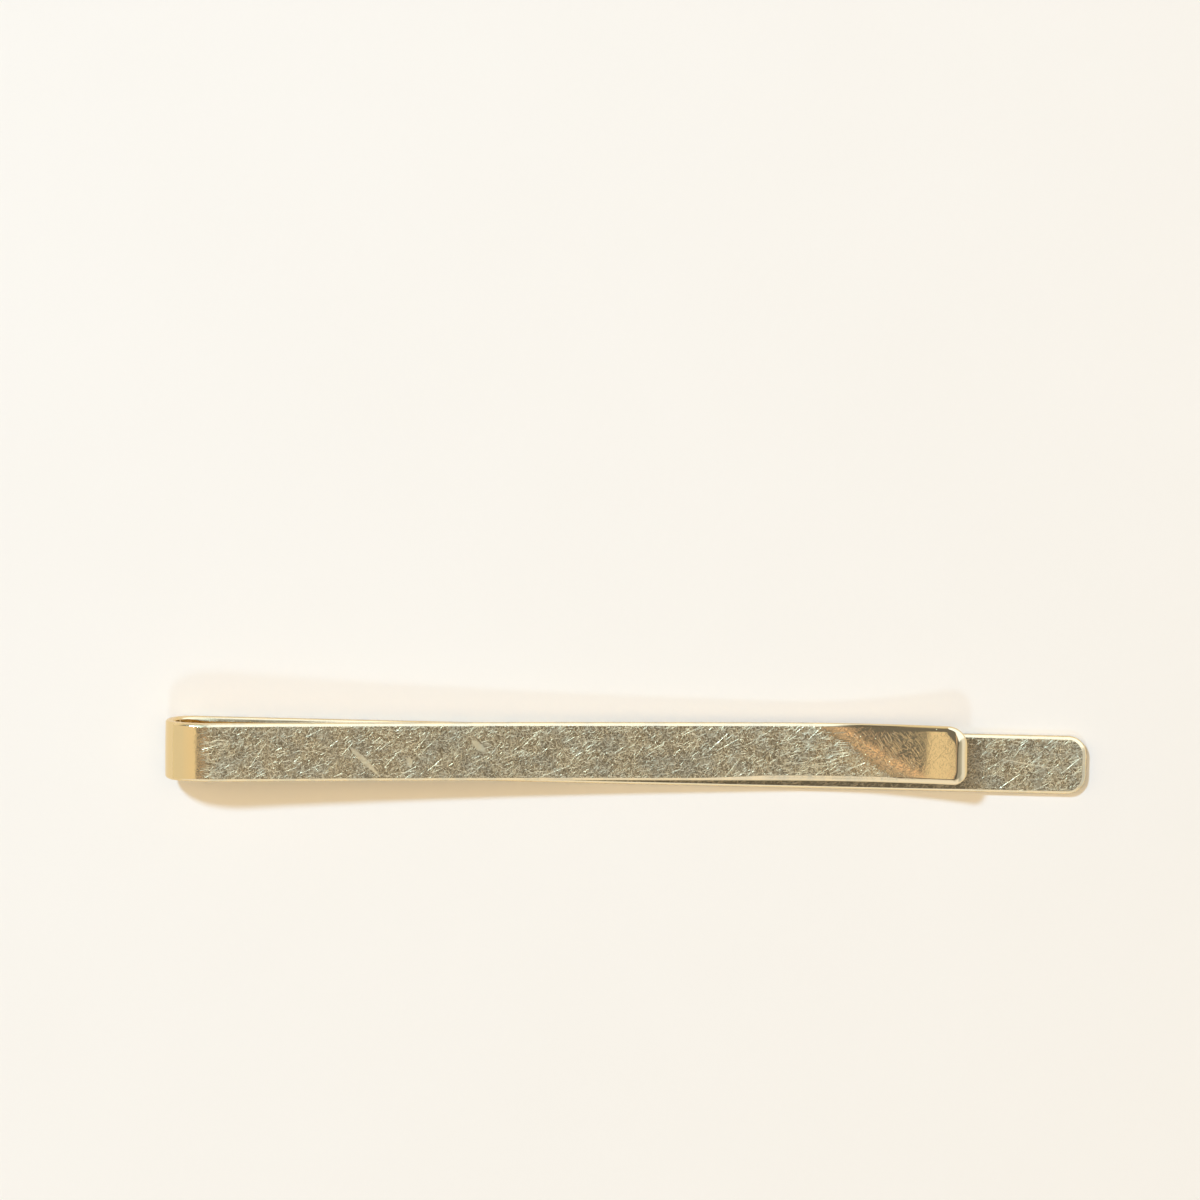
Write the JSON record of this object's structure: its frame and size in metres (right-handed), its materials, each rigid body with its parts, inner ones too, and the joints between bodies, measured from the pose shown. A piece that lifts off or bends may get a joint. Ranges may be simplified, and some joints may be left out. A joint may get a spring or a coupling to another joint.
{
  "type": "tie clip",
  "caption": "Slim tie bar bent from one gold strip: a long flat front bar, a hairpin fold and a springy back leg with a flared tip that grips the tie.",
  "frame": {"origin": "middle of the front bar's front face, half way between the outside of the fold and the bar's free end", "axes": "+X along the clip from the fold to the bar's free end, +Y across the strip, +Z from the front face up to the spring leg"},
  "size_m": [0.063, 0.0048, 0.0041],
  "materials": {
    "yellow_gold": "polished gold, worn satin by fine scratches"
  },
  "bodies": {
    "bar": {"front_bar": "yellow_gold", "fold_lower": "yellow_gold"},
    "leg": {"fold_upper": "yellow_gold", "shoulder": "yellow_gold", "spring_leg": "yellow_gold", "grip_curve": "yellow_gold", "finger_pad": "yellow_gold"}
  },
  "joints": [
    {"name": "leg_flex", "type": "hinge", "parent": "bar", "child": "leg", "pos_m": [-0.0315, 0, 0.00195], "axis": [0.0157, -0.9999, 0], "range_deg": [0, 6], "stiffness_Nm_per_rad": 0.45, "springref_deg": -1.15}
  ]
}
